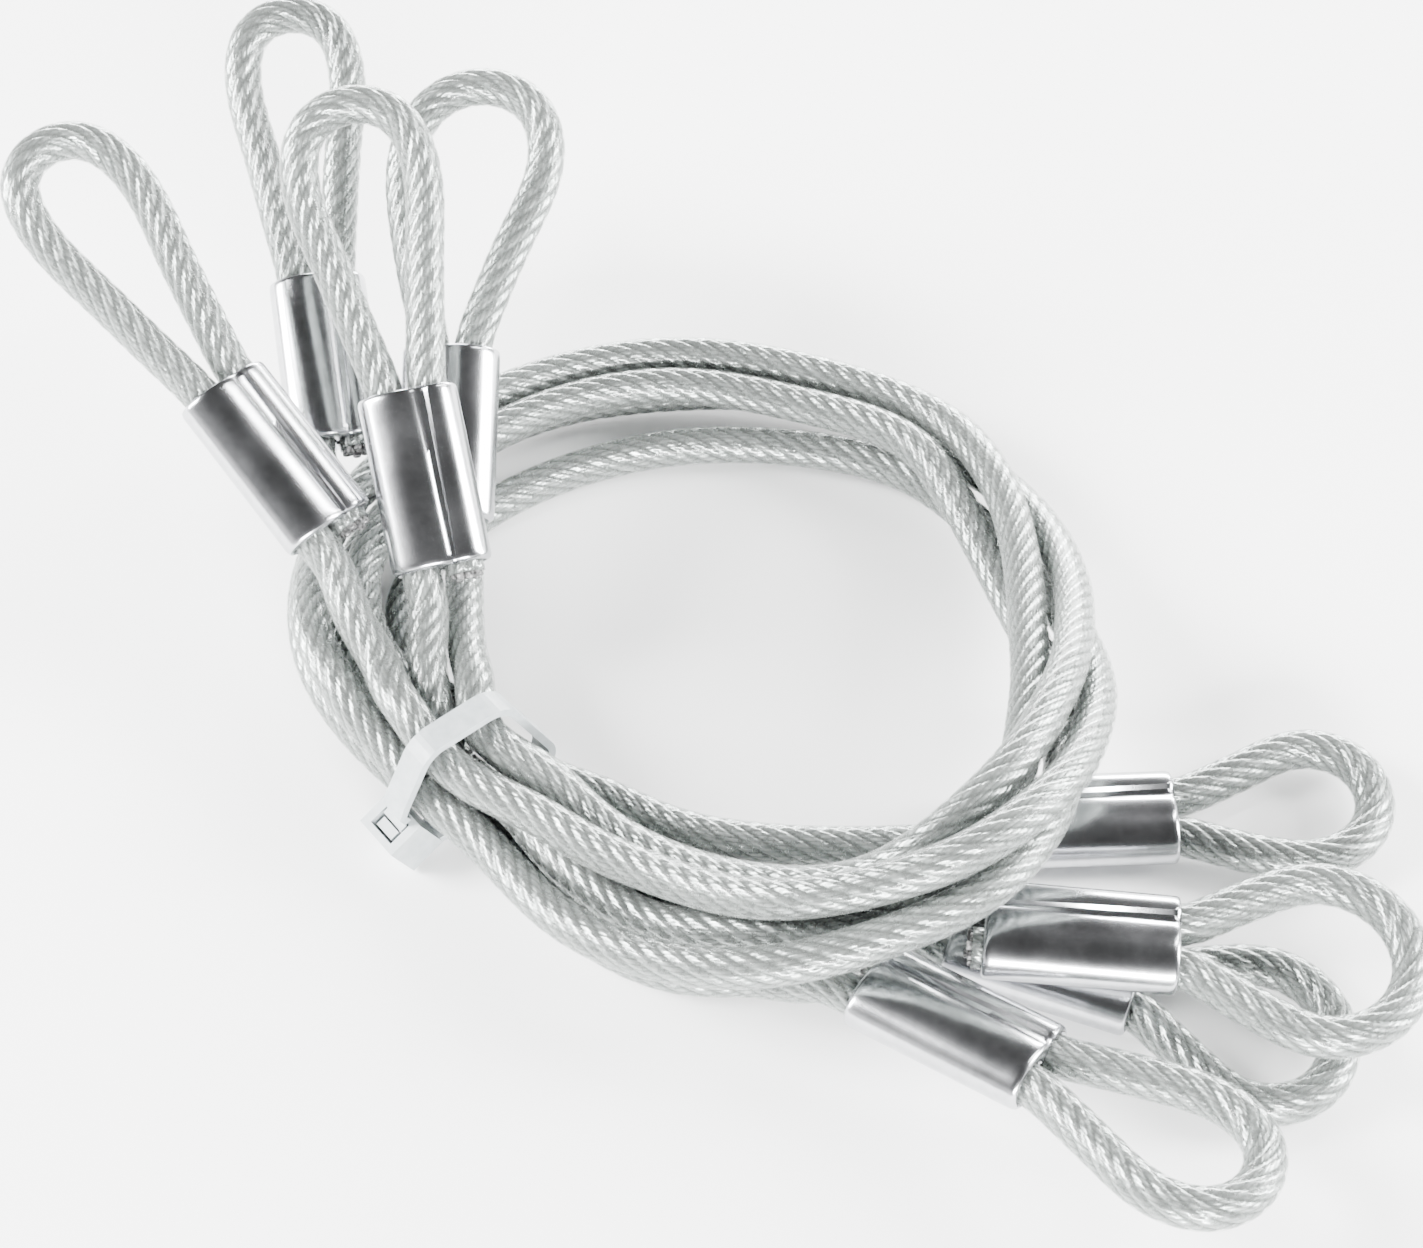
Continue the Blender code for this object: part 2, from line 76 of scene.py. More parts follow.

# Sleeves
SLEEVE_HALF = 6.3
SLEEVE_HEIGHT = 3.6
LARGE_BARREL = 5.0               # half widths of the two pressed barrels
SMALL_BARREL = 3.4
SMALL_BARREL_DROP = 0.25         # how much lower the small barrel is
FOLD_AT = 1.8
FOLD_DEPTH = 0.3
FOLD_HALF = (0.3, 1.0)           # half width of the fold at the rope end and at the eye end
RIM = [(0.0, 0.55), (0.06, 0.32), (0.22, 0.13), (0.5, 0.03), (0.9, 0.0)]  # distance in, inset
RIM_CLEAR = 1.6                  # from a sleeve's end to its first plain ring
PLAIN_RINGS = 26
BORE_RADIUS = 2.62
BORE_MOUTH = (2.9, 0.3)          # radius at the very end, and how deep the flare goes
BORE_GAP = 12                    # half angle, in degrees, that a bore leaves open to the other
ARC_POINTS = 16                  # along the top of each barrel
SHARP_EDGE = 38                  # degrees between faces from which an edge is shaded sharp

# Cut rope ends
CUT_SIDES = 8
CUT_STRAND_RADIUS = 0.56
CUT_STRAND_REACH = 1.55          # from the rope's middle to each outer strand's
CUT_ROOT = -0.5                  # how far inside the coat the strands begin
CUT_LENGTHS = (0.25, 0.9)        # least and greatest length out of the coat
CUT_LEAN = 0.3                   # outwards, for each millimetre of length
CUT_LEAN_SHARES = (-0.3, 1.0)    # least and greatest share of that lean
CUT_BEVEL = 0.1
CUT_TIP_RADII = (0.3, 0.5)

TIE_EDGE = 0.3                   # rounding of the tie's edges

# Studio
HORIZON_LIGHT = 1.5
CEILING_LIGHT = 0.05
FLOOR_HALF = 3.0
CAMERA_SPOT = (0.0, -246.26, 315.20)
CAMERA_TARGET = (2.4, 7.5, 0.0)
CAMERA_LENS = 78.93
# Panels: name, place and size in metres, power in watts.
PANELS = [
    ("key", (-1.20, 0.00, 0.70), (0.6, 0.9), 115.0),
    ("side", (1.20, 0.10, 0.45), (0.4, 0.9), 70.0),
    ("back", (0.20, 1.30, 0.25), (1.4, 0.3), 90.0),
    ("front", (0.20, -1.25, 0.45), (0.8, 0.3), 85.0),
    ("strip", (0.80, 0.55, 0.95), (0.10, 0.8), 14.0),
]

rng = np.random.default_rng(7)

# Each rope runs about one and a quarter times round the ring, so it passes the tie twice.
# A station is (angle in degrees, radius, height).
# First pass: through the tie and along the front, each rope on its own.
FIRST_PASS = {
    "a": [(197, 34.1, 14.2), (202, 34.7, 13.6), (207, 35.2, 12.6), (218, 35.9, 9.0),
          (229, 34.7, 8.0), (240, 36.8, 7.7), (251, 40.2, 7.8), (262, 43.8, 8.2),
          (279, 48.6, 11.8)],
    "b": [(197, 44.8, 12.9), (202, 43.7, 11.7), (207, 42.4, 10.4), (218, 41.4, 9.2),
          (229, 40.9, 8.3), (240, 43.0, 8.4), (251, 47.2, 9.8), (262, 51.0, 11.6),
          (279, 55.4, 15.4)],
    "c": [(197, 39.6, 15.4), (202, 39.6, 15.8), (207, 39.3, 16.0), (218, 38.7, 14.0),
          (229, 37.6, 13.2), (240, 37.0, 13.1), (251, 38.4, 13.1), (262, 40.7, 13.6),
          (279, 47.6, 17.6)],
    "d": [(197, 28.8, 12.6), (202, 29.1, 13.4), (207, 29.9, 14.1), (218, 32.2, 14.1),
          (229, 31.9, 13.0), (240, 31.5, 11.2), (251, 33.2, 9.9), (262, 35.8, 9.9),
          (279, 42.4, 13.2)],
}
# The right side of the ring: the four ropes are laid round one another. Over the end
# sleeves they rise clear of them.
BUNDLE = [(295, 53.0, 18.3), (304, 54.0, 20.9), (313, 53.2, 21.6), (322, 51.6, 20.6),
          (331, 49.4, 18.8), (340, 47.6, 16.6), (349, 45.9, 14.1), (358, 44.8, 11.8),
          (367, 44.2, 9.8), (385, 44.2, 7.5), (394, 44.6, 6.8), (403, 45.0, 6.3)]
BUNDLE_SPREAD = 4.2              # from the middle of the bundle to each rope
BUNDLE_TWIST = -2.05             # degrees of twist for each degree round the ring
BUNDLE_END_ANGLE = 405.0
BUNDLE_CORNER = {"a": 45.0, "b": 135.0, "c": 225.0, "d": -45.0}
# Second pass: round the back, through the tie again and along the ground at the front.
SECOND_PASS = {
    "a": [(428, 47.0, 8.5), (452, 47.8, 8.2), (477, 48.4, 8.1), (502, 49.2, 8.1),
          (527, 50.0, 7.6), (540, 48.6, 6.8), (552, 45.6, 5.8), (565, 41.8, 4.8),
          (578, 38.9, 4.1), (589, 37.5, 3.3), (600, 39.7, 2.8), (611, 43.2, 2.8),
          (622, 46.5, 2.8), (630, 48.4, 3.5), (638, 50.0, 4.9)],
    "b": [(428, 41.2, 8.2), (452, 42.2, 8.1), (477, 42.8, 8.1), (502, 43.3, 8.1),
          (527, 43.3, 8.1), (540, 40.8, 8.2), (552, 37.0, 8.5), (565, 31.1, 8.8),
          (578, 30.3, 9.2), (589, 28.9, 8.3), (600, 29.0, 6.5), (611, 31.4, 4.7),
          (622, 34.8, 2.8), (630, 36.8, 2.9), (638, 38.4, 3.4)],
    "c": [(428, 38.2, 2.9), (452, 36.0, 2.7), (477, 35.6, 2.7), (502, 37.2, 2.7),
          (527, 38.2, 2.7), (552, 33.2, 3.0), (565, 29.6, 3.8), (578, 27.5, 4.1),
          (589, 26.1, 3.4), (600, 24.7, 2.8), (611, 24.9, 2.7), (622, 26.2, 2.7)],
    "d": [(428, 47.2, 3.0), (452, 45.9, 2.7), (477, 46.8, 2.7), (502, 46.9, 2.7),
          (527, 46.2, 2.7), (552, 40.0, 3.0), (565, 36.2, 3.7), (578, 33.2, 4.1),
          (589, 31.8, 3.3), (600, 33.7, 2.8), (611, 37.2, 2.8), (622, 40.6, 2.7),
          (638, 44.2, 2.7)],
}
# Terminals. entry: middle of the sleeve's rope end. aim: along the sleeve, towards the eye.
# flat: across both barrels' top. eye: length from the sleeve and width, outside. lean: how
# far the eye swings sideways, in degrees. legs: points between the sleeve and the ring.
# barrel: which barrel the rope body goes into.
START = {
    "a": dict(entry=(-31.0, 2.2, 18.0), aim=(-0.20, 0.80, 0.55), flat=(0.0, -0.5, 0.85),
              eye=(39.7, 20.0), lean=0, barrel=1, legs=[]),
    "b": dict(entry=(-45.8, 25.5, 15.6), aim=(-0.14, 0.90, 0.40), flat=(0.1, -0.4, 0.91),
              eye=(41.0, 18.4), lean=1, barrel=1,
              legs=[(-46.8, 13.0, 13.7), (-47.8, -1.0, 13.5)]),
    "c": dict(entry=(-44.9, 6.0, 21.2), aim=(-0.60, 0.66, 0.42), flat=(0.35, -0.35, 0.87),
              eye=(40.8, 19.5), lean=1.5, barrel=1, legs=[(-42.4, -3.6, 18.0)]),
    "d": dict(entry=(-31.6, 14.6, 12.8), aim=(0.03, 0.87, 0.47), flat=(0.0, -0.45, 0.9),
              eye=(38.3, 23.2), lean=5, barrel=-1, legs=[(-28.8, 2.5, 10.6)]),
}
END = {
    "a": dict(entry=(20.2, -53.2, 8.9), aim=(0.825, -0.56, 0.085), flat=(0.09, 0.148, 0.985),
              eye=(30.0, 21.0), lean=2, barrel=-1, legs=[(12.0, -51.6, 7.0)]),
    "b": dict(entry=(33.4, -47.3, 11.35), aim=(0.993, -0.116, 0.0), flat=(0, 0, 1),
              eye=(29.4, 26.0), lean=0, barrel=1, legs=[(19.0, -40.5, 6.9)]),
    "c": dict(entry=(36.0, -27.1, 3.8), aim=(1.0, 0.03, 0.0), flat=(0, 0, 1),
              eye=(27.5, 21.5), lean=-5, barrel=-1,
              legs=[(8.0, -28.9, 2.7), (21.0, -29.6, 2.8)]),
    "d": dict(entry=(30.8, -42.9, 3.75), aim=(0.93, -0.36, 0.0), flat=(0, 0, 1),
              eye=(26.6, 23.5), lean=3, barrel=-1, legs=[(19.0, -44.9, 2.8)]),
}
# Which barrel of each sleeve is the large one.
LARGE_SIDE = {"start": {"a": 1, "b": 1, "c": 1, "d": -1},
              "end": {"a": -1, "b": -1, "c": -1, "d": -1}}
SLINGS = "abcd"


# ---------------------------------------------------------------- routes

def unit(vector):
    """The vector at length 1."""
    vector = np.array(vector, float)
    return vector / np.linalg.norm(vector)


def on_ring(angle, radius, height):
    """A point at an angle in degrees round the ring."""
    turn = math.radians(angle)
    return np.array((radius * math.cos(turn), radius * math.sin(turn), height))


def in_bundle(angle, radius, height, corner):
    """A point of one of the four ropes that are laid round one another."""
    turn = math.radians(corner + BUNDLE_TWIST * (angle - BUNDLE_END_ANGLE))
    return on_ring(angle, radius + BUNDLE_SPREAD * math.cos(turn),
                   height + BUNDLE_SPREAD * math.sin(turn))


def smooth(points, step):
    """Natural cubic spline through the points, read at even steps."""
    points = np.array(points, float)
    stations = np.concatenate([[0.0], np.cumsum(np.linalg.norm(np.diff(points, axis=0), axis=1))])
    spans = np.diff(stations)
    matrix = np.eye(len(points))
    right_side = np.zeros_like(points)
    for i in range(1, len(points) - 1):
        matrix[i, i - 1:i + 2] = spans[i - 1], 2 * (spans[i - 1] + spans[i]), spans[i]
        right_side[i] = 6 * ((points[i + 1] - points[i]) / spans[i]
                             - (points[i] - points[i - 1]) / spans[i - 1])
    bend = np.linalg.solve(matrix, right_side)
    result = []
    for where in np.linspace(0, stations[-1], max(2, int(round(stations[-1] / step)) + 1)):
        i = min(np.searchsorted(stations, where, side="right") - 1, len(spans) - 1)
        ahead = stations[i + 1] - where
        behind = where - stations[i]
        result.append((bend[i] * ahead ** 3 + bend[i + 1] * behind ** 3) / (6 * spans[i])
                      + (points[i] / spans[i] - bend[i] * spans[i] / 6) * ahead
                      + (points[i + 1] / spans[i] - bend[i + 1] * spans[i] / 6) * behind)
    return np.array(result)


def distance_along(line):
    """Distance from the line's first point to each of its points."""
    return np.concatenate([[0.0], np.cumsum(np.linalg.norm(np.diff(line, axis=0), axis=1))])


def cut(line, start, end, step):
    """The part of a line between two distances along it, read at even steps."""
    along = distance_along(line)
    where = np.linspace(start, end, int(round((end - start) / step)) + 1)
    return np.stack([np.interp(where, along, line[:, i]) for i in range(3)], axis=1)


def terminal_axes(terminal):
    """Unit vectors along the sleeve, out of its flat side and across its two barrels."""
    aim = unit(terminal["aim"])
    flat = np.array(terminal["flat"], float)
    flat = unit(flat - aim * flat.dot(aim))
    return aim, flat, np.cross(flat, aim)


def barrel_entry(terminal, barrel):
    """Middle of one barrel at the sleeve's rope end."""
    side = terminal_axes(terminal)[2]
    return np.array(terminal["entry"]) + side * BARREL_OFFSET * barrel


def rope_route(name):
    """From the mouth of the start sleeve, round the ring, to the mouth of the end sleeve."""
    start, end = START[name], END[name]
    aim_in, aim_out = terminal_axes(start)[0], terminal_axes(end)[0]
    entry_in = barrel_entry(start, start["barrel"])
    entry_out = barrel_entry(end, end["barrel"])
    points = [entry_in + aim_in * 2 * LEAD, entry_in + aim_in * LEAD, entry_in,
              entry_in - aim_in * LEAD]
    points += [np.array(point) for point in start["legs"]]
    points += [on_ring(*station) for station in FIRST_PASS[name]]
    points += [in_bundle(*station, BUNDLE_CORNER[name]) for station in BUNDLE]
    points += [on_ring(*station) for station in SECOND_PASS[name]]
    points += [np.array(point) for point in end["legs"]]
    points += [entry_out - aim_out * LEAD, entry_out, entry_out + aim_out * LEAD,
               entry_out + aim_out * 2 * LEAD]
    line = smooth(points, 1.0)
    lead = int(2 * LEAD) + 1
    return np.concatenate([[entry_in + aim_in * SLEEVE_LENGTH, entry_in], line[lead:-lead],
                           [entry_out, entry_out + aim_out * SLEEVE_LENGTH]])


def eye_route(terminal):
    """The loop, from the mouth of barrel +1 round to the mouth of barrel -1."""
    aim, _, side = terminal_axes(terminal)
    length = terminal["eye"][0] - ROPE_DIAMETER / 2
    half = (terminal["eye"][1] - ROPE_DIAMETER) / 2
    lean = math.radians(terminal["lean"])
    spare = half - BARREL_OFFSET
    straight = length - half
    limb = [(BARREL_OFFSET, 0), (BARREL_OFFSET + 0.2 * spare, 0.2 * straight),
            (BARREL_OFFSET + 0.7 * spare, 0.6 * straight), (half, straight),
            (0.72 * half, length - 0.3 * half), (0, length)]
    loop = limb + [(-across, along) for across, along in reversed(limb[:-1])]
    leaned = [(across * math.cos(lean * along / length)
               - along * math.sin(lean) * min(1, 1.5 * along / length), along)
              for across, along in loop]
    lead_in = [(BARREL_OFFSET, -6), (BARREL_OFFSET, -3)]
    lead_out = [(-BARREL_OFFSET, -3), (-BARREL_OFFSET, -6)]
    flat_line = smooth([(x, y, 0) for x, y in lead_in + leaned + lead_out], 1.0)
    flat_line = flat_line[flat_line[:, 1] >= 0]
    mouth = np.array(terminal["entry"]) + aim * SLEEVE_LENGTH
    return mouth + np.outer(flat_line[:, 0], side) + np.outer(flat_line[:, 1], aim)


def sling_line(name):
    """The whole rope: start tail, start eye, ring, end eye, end tail, in millimetres."""
    start, end = START[name], END[name]
    aim_in, aim_out = terminal_axes(start)[0], terminal_axes(end)[0]
    start_loop, end_loop = eye_route(start), eye_route(end)
    if start["barrel"] > 0:
        start_loop = start_loop[::-1]
    if end["barrel"] < 0:
        end_loop = end_loop[::-1]
    tail_in = barrel_entry(start, -start["barrel"]) - aim_in * TAIL_LENGTH
    tail_out = barrel_entry(end, -end["barrel"]) - aim_out * TAIL_LENGTH
    line = np.concatenate([[tail_in], start_loop, rope_route(name)[1:], end_loop[1:], [tail_out]])
    line = cut(line, 0.0, distance_along(line)[-1], RING_STEP)
    for _ in range(SMOOTHING_PASSES):
        line[2:-2] = (line[1:-3] + line[2:-2] + line[3:-1]) / 3
    return line


def split_ring(line, name):
    """The ring of vertices where the first pass goes under the tie."""
    tie = [on_ring(*station) for station in FIRST_PASS[name] if station[0] == TIE_ANGLE][0]
    return int(np.linalg.norm(line - tie, axis=1).argmin())


def rope_frames(line):
    """Two unit vectors across the line, at each point of it, that do not twist about it."""
    ways = np.gradient(line, axis=0)
    ways /= np.linalg.norm(ways, axis=1)[:, None]
    first = np.zeros_like(ways)
    across = np.cross(ways[0], (0.0, 0.0, 1.0))
    for i, way in enumerate(ways):
        across = across - way * across.dot(way)
        across /= np.linalg.norm(across)
        first[i] = across
    return first, np.cross(ways, first)


# ---------------------------------------------------------------- mesh helpers

def placed(points):
    """From the ring's millimetres to metres of the row frame."""
    return (np.asarray(points, float) + CENTRE) * MM


def new_piece(name, vertices, faces, material, smooth_shading=True):
    """A mesh object from points in metres of the row frame."""
    mesh = bpy.data.meshes.new(name)
    mesh.from_pydata(vertices.tolist(), [], faces)
    mesh.validate()
    shape = bmesh.new()
    shape.from_mesh(mesh)
    bmesh.ops.recalc_face_normals(shape, faces=shape.faces)
    shape.to_mesh(mesh)
    shape.free()
    mesh.polygons.foreach_set("use_smooth", [smooth_shading] * len(mesh.polygons))
    mesh.materials.append(material)
    piece = bpy.data.objects.new(name, mesh)
    bpy.context.scene.collection.objects.link(piece)
    return piece


def tube_faces(rings, around):
    """Quads between rings, and one cap at each end."""
    ring = np.arange(rings - 1)[:, None] * around
    here = np.arange(around)[None, :]
    there = (here + 1) % around
    quads = np.stack([ring + here, ring + there, ring + around + there, ring + around + here], axis=-1)
    faces = quads.reshape(-1, 4).tolist()
    faces.append(list(range(around))[::-1])
    faces.append([(rings - 1) * around + i for i in range(around)])
    return faces


def core_radii(turn_at_ring):
    """Radius at each ring and angle: round strands with the crowns of their wires.

    Also gives how deep in a groove between strands each point lies, from 0 to 1, and how
    high on its wire.
    """
    angle = np.linspace(0, 2 * math.pi, AROUND, endpoint=False)[None, :]
    strand_pitch = 2 * math.pi / STRANDS
    turned = (angle - turn_at_ring[:, None]) / strand_pitch + 0.5
    groove = np.abs(2 * (turned % 1.0) - 1)
    strand = np.floor(turned) % STRANDS
    wire = (angle * WIRES_AROUND / (2 * math.pi) + WIRE_SHIFT * strand
            + WIRE_DRIFT * turn_at_ring[:, None]) % 1.0
    crown = 1 - (2 * wire - 1) ** 2
    radius = CORE_RADIUS - GROOVE_DEPTH * groove ** GROOVE_SHARPNESS - WIRE_DEPTH * (1 - crown)
    return radius, groove, crown


def rope_core(name, line, frames, rings, turn, material):
    """The strands of a stretch of rope."""
    across, up = frames
    radius, groove, crown = core_radii(turn)
    angle = np.linspace(0, 2 * math.pi, AROUND, endpoint=False)
    ring = slice(rings[0], rings[1])
    points = line[ring, None, :] + radius[ring, :, None] * (
        np.cos(angle)[None, :, None] * across[ring, None, :]
        + np.sin(angle)[None, :, None] * up[ring, None, :])
    count = rings[1] - rings[0]
    piece = new_piece(name, placed(points.reshape(-1, 3)), tube_faces(count, AROUND), material)
    # groove and crown are stored for the strand material, which paints shade into the grooves and the gaps
    # between wires
    for label, values in (("groove", groove), ("crown", crown)):
        layer = piece.data.attributes.new(label, "FLOAT", "POINT")
        layer.data.foreach_set("value", values[ring].reshape(-1).astype(np.float32))
    return piece


def rope_coat(name, line, frames, rings, material):
    """The clear coat over a stretch of rope."""
    across, up = frames
    where = np.unique(np.append(np.arange(rings[0], rings[1], COAT_STEP), rings[1] - 1))
    angle = np.linspace(0, 2 * math.pi, COAT_AROUND, endpoint=False)
    points = line[where, None, :] + ROPE_DIAMETER / 2 * (
        np.cos(angle)[None, :, None] * across[where, None, :]
        + np.sin(angle)[None, :, None] * up[where, None, :])
    return new_piece(name, placed(points.reshape(-1, 3)), tube_faces(len(where), COAT_AROUND), material)


# ---------------------------------------------------------------- materials

def new_material(name):
    """A material with its node tree and its main shader."""
    material = bpy.data.materials.new(name)
    material.use_nodes = True
    tree = material.node_tree
    return material, tree, tree.nodes["Principled BSDF"]


def node(tree, kind, **settings):
    """A shader node with its settings and, under inputs=, its unlinked values."""
    new = tree.nodes.new(kind)
    for name, value in settings.pop("inputs", {}).items():
        new.inputs[name].default_value = value
    for name, value in settings.items():
        setattr(new, name, value)
    return new


def ramp(tree, source, stops):
    """Colours by position along a value."""
    new = tree.nodes.new("ShaderNodeValToRGB")
    while len(new.color_ramp.elements) < len(stops):
        new.color_ramp.elements.new(0.5)
    for element, (position, shade) in zip(new.color_ramp.elements, stops):
        element.position = position
        element.color = (*shade, 1.0) if isinstance(shade, tuple) else (shade, shade, shade, 1.0)
    tree.links.new(source, new.inputs[0])
    return new.outputs[0]


def multiply(tree, one, two):
    """Two colours multiplied."""
    new = node(tree, "ShaderNodeMix", data_type="RGBA", blend_type="MULTIPLY")
    new.inputs[0].default_value = 1.0
    tree.links.new(one, new.inputs[6])
    tree.links.new(two, new.inputs[7])
    return new.outputs[2]


def object_noise(tree, scale, detail=4.0):
    """Noise that is fixed to the piece, read in its own coordinates."""
    position = node(tree, "ShaderNodeTexCoord")
    noise = node(tree, "ShaderNodeTexNoise", inputs={"Scale": scale, "Detail": detail})
    tree.links.new(position.outputs["Object"], noise.inputs["Vector"])
    return noise.outputs["Fac"]


def strand_material():
    """Bright galvanised wire, with painted shade in the grooves between strands and in the gaps between
    wires.
    """
    material, tree, shader = new_material("galvanised_strands")
    groove = node(tree, "ShaderNodeAttribute", attribute_name="groove").outputs["Fac"]
    crown = node(tree, "ShaderNodeAttribute", attribute_name="crown").outputs["Fac"]
    # painted shade: colour darkens from the tops of the strands into the grooves between them
    groove_painted_shade = ramp(tree, groove, [(0.0, 1.0), (0.55, (0.80, 0.81, 0.81)), (0.85, (0.38, 0.40, 0.39)),
                                    (1.0, (0.14, 0.15, 0.145))])
    # painted shade: dark lines in the gaps between neighbouring wires
    wire_gap_painted_shade = ramp(tree, crown, [(0.0, (0.22, 0.23, 0.23)), (0.45, (0.72, 0.73, 0.73)),
                                       (1.0, (1.0, 1.0, 1.0))])
    zinc = ramp(tree, object_noise(tree, 900.0), [(0.30, (0.29, 0.31, 0.305)), (0.60, (0.41, 0.43, 0.42)),
                                                  (0.80, (0.56, 0.57, 0.56))])
    tree.links.new(multiply(tree, multiply(tree, groove_painted_shade, wire_gap_painted_shade), zinc),
                   shader.inputs["Base Color"])
    shader.inputs["Metallic"].default_value = 0.85
    rough = ramp(tree, object_noise(tree, 1400.0), [(0.35, 0.22), (0.70, 0.42)])
    tree.links.new(rough, shader.inputs["Roughness"])
    return material


def cut_wire_material():
    """Sheared wire ends: dark, rough steel."""
    material, tree, shader = new_material("cut_wire")
    shader.inputs["Metallic"].default_value = 0.7
    shader.inputs["Roughness"].default_value = 0.55
    tone = ramp(tree, object_noise(tree, 2500.0), [(0.35, (0.05, 0.05, 0.05)), (0.55, (0.22, 0.22, 0.22)),
                                                   (0.75, (0.55, 0.55, 0.54))])
    tree.links.new(tone, shader.inputs["Base Color"])
    return material


def coat_material():
    """Clear soft PVC: a glossy skin with a slight milky veil."""
    material, tree, shader = new_material("clear_coat")
    clear = node(tree, "ShaderNodeBsdfTransparent", inputs={"Color": (0.985, 0.99, 0.985, 1.0)})
    shader.inputs["Base Color"].default_value = (0.50, 0.53, 0.51, 1.0)
    shader.inputs["Specular IOR Level"].default_value = 1.0
    rough = ramp(tree, object_noise(tree, 500.0), [(0.35, 0.10), (0.70, 0.22)])
    tree.links.new(rough, shader.inputs["Roughness"])
    edge = node(tree, "ShaderNodeLayerWeight", inputs={"Blend": 0.35}).outputs["Facing"]
    share = ramp(tree, edge, [(0.0, 0.10), (0.55, 0.14), (0.85, 0.32), (1.0, 0.65)])
    mix = node(tree, "ShaderNodeMixShader")
    tree.links.new(share, mix.inputs[0])
    tree.links.new(clear.outputs[0], mix.inputs[1])
    tree.links.new(shader.outputs[0], mix.inputs[2])
    tree.links.new(mix.outputs[0], tree.nodes["Material Output"].inputs["Surface"])
    return material


def aluminium_material():
    """Pressed soft aluminium: satin, with fine scuffs and faint stains."""
    material, tree, shader = new_material("pressed_aluminium")
    shader.inputs["Metallic"].default_value = 1.0
    scuffs = object_noise(tree, 900.0, 3.0)
    stains = object_noise(tree, 140.0, 3.0)
    tone = multiply(tree, ramp(tree, scuffs, [(0.25, (0.52, 0.53, 0.55)), (0.60, (0.62, 0.63, 0.65))]),
                    ramp(tree, stains, [(0.30, (0.90, 0.90, 0.90)), (0.60, (1.0, 1.0, 1.0))]))
    tree.links.new(tone, shader.inputs["Base Color"])
    tree.links.new(ramp(tree, stains, [(0.3, 0.24), (0.7, 0.18)]), shader.inputs["Roughness"])
    bump = node(tree, "ShaderNodeBump", inputs={"Strength": 0.12, "Distance": 0.00005})
    tree.links.new(scuffs, bump.inputs["Height"])
    tree.links.new(bump.outputs[0], shader.inputs["Normal"])
    return material


def nylon_material():
    """Natural nylon: waxy white, light passes into it a little."""
    material, tree, shader = new_material("natural_nylon")
    tone = ramp(tree, object_noise(tree, 700.0), [(0.3, (0.33, 0.36, 0.37)), (0.7, (0.42, 0.45, 0.46))])
    tree.links.new(tone, shader.inputs["Base Color"])
    shader.inputs["Subsurface Weight"].default_value = 0.5
    shader.inputs["Subsurface Radius"].default_value = (0.002, 0.002, 0.002)
    shader.inputs["Roughness"].default_value = 0.38
    bump = node(tree, "ShaderNodeBump", inputs={"Strength": 0.15, "Distance": 0.0001})
    tree.links.new(object_noise(tree, 1500.0), bump.inputs["Height"])
    tree.links.new(bump.outputs[0], shader.inputs["Normal"])
    return material


# ---------------------------------------------------------------- camera and studio

def add_camera():
    """The view from the front and above, looking a little beyond the ring's centre."""
    camera = bpy.data.objects.new("camera", bpy.data.cameras.new("camera"))
    camera.data.lens = CAMERA_LENS
    camera.data.sensor_width = 36.0
    camera.data.clip_start = 0.01
    spot = Vector(placed(CAMERA_SPOT))
    target = Vector(placed(CAMERA_TARGET))
    camera.location = spot
    camera.rotation_euler = (target - spot).to_track_quat("-Z", "Y").to_euler()
    bpy.context.scene.collection.objects.link(camera)
    bpy.context.scene.camera = camera


def add_panel(name, place, size, power):
    """A soft light panel that faces the bundle."""
    light = bpy.data.lights.new(name, "AREA")
    light.shape = "RECTANGLE"
    light.size, light.size_y = size
    light.energy = power
    panel = bpy.data.objects.new(name, light)
    panel.location = place
    panel.rotation_euler = (-Vector(place)).to_track_quat("-Z", "Y").to_euler()
    bpy.context.scene.collection.objects.link(panel)


def add_studio():
    """A pale horizon under a dark ceiling, soft panels and a pale floor."""
    world = bpy.data.worlds.new("studio")
    world.use_nodes = True
    tree = world.node_tree
    direction = node(tree, "ShaderNodeSeparateXYZ")
    tree.links.new(node(tree, "ShaderNodeTexCoord").outputs["Generated"], direction.inputs[0])
    tree.links.new(ramp(tree, direction.outputs["Z"], [(0.22, HORIZON_LIGHT), (0.45, CEILING_LIGHT)]),
                   tree.nodes["Background"].inputs["Color"])
    bpy.context.scene.world = world
    for panel in PANELS:
        add_panel(*panel)
    corners = np.array([(-1, -1, 0), (1, -1, 0), (1, 1, 0), (-1, 1, 0)]) * FLOOR_HALF
    material, _, shader = new_material("floor")
    shader.inputs["Base Color"].default_value = (0.97, 0.97, 0.97, 1.0)
    shader.inputs["Roughness"].default_value = 0.9
    new_piece("floor", corners, [[0, 1, 2, 3]], material, False)


# ---------------------------------------------------------------- ropes

def build_ropes(name, strands, coat):
    """A sling as two stretches that meet under the tie, each across one terminal's joint."""
    line = sling_line(name)
    frames = rope_frames(line)
    turn = distance_along(line) * 2 * math.pi / LAY + SLINGS.index(name)
    split = split_ring(line, name)
    start, end = START[name], END[name]
    aim_in, aim_out = terminal_axes(start)[0], terminal_axes(end)[0]
    entry = np.array(start["entry"])
    mouth = np.array(end["entry"]) + aim_out * SLEEVE_LENGTH
    stretches = (
        ("start", (0, split), (f"eye_{name}_start",), entry - aim_in * START_BEND[0],
         entry - aim_in * START_BEND[1]),
        ("end", (split, len(line)), (f"rope_{name}", f"eye_{name}_end", f"tail_{name}_end"),
         mouth, mouth + aim_out * END_BEND),
    )
    for which, rings, nodes, bend_from, bend_to in stretches:
        core = rope_core(f"strands_{name}_{which}", line, frames, rings, turn, strands)
        skin = rope_coat(f"coat_{name}_{which}", line, frames, rings, coat)
        for piece in (core, skin):
            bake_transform(piece)
        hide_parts(*nodes)
        path = placed(line[rings[0]:rings[1]])
        if which == "start":
            path = path[::-1]


# ---------------------------------------------------------------- sleeves

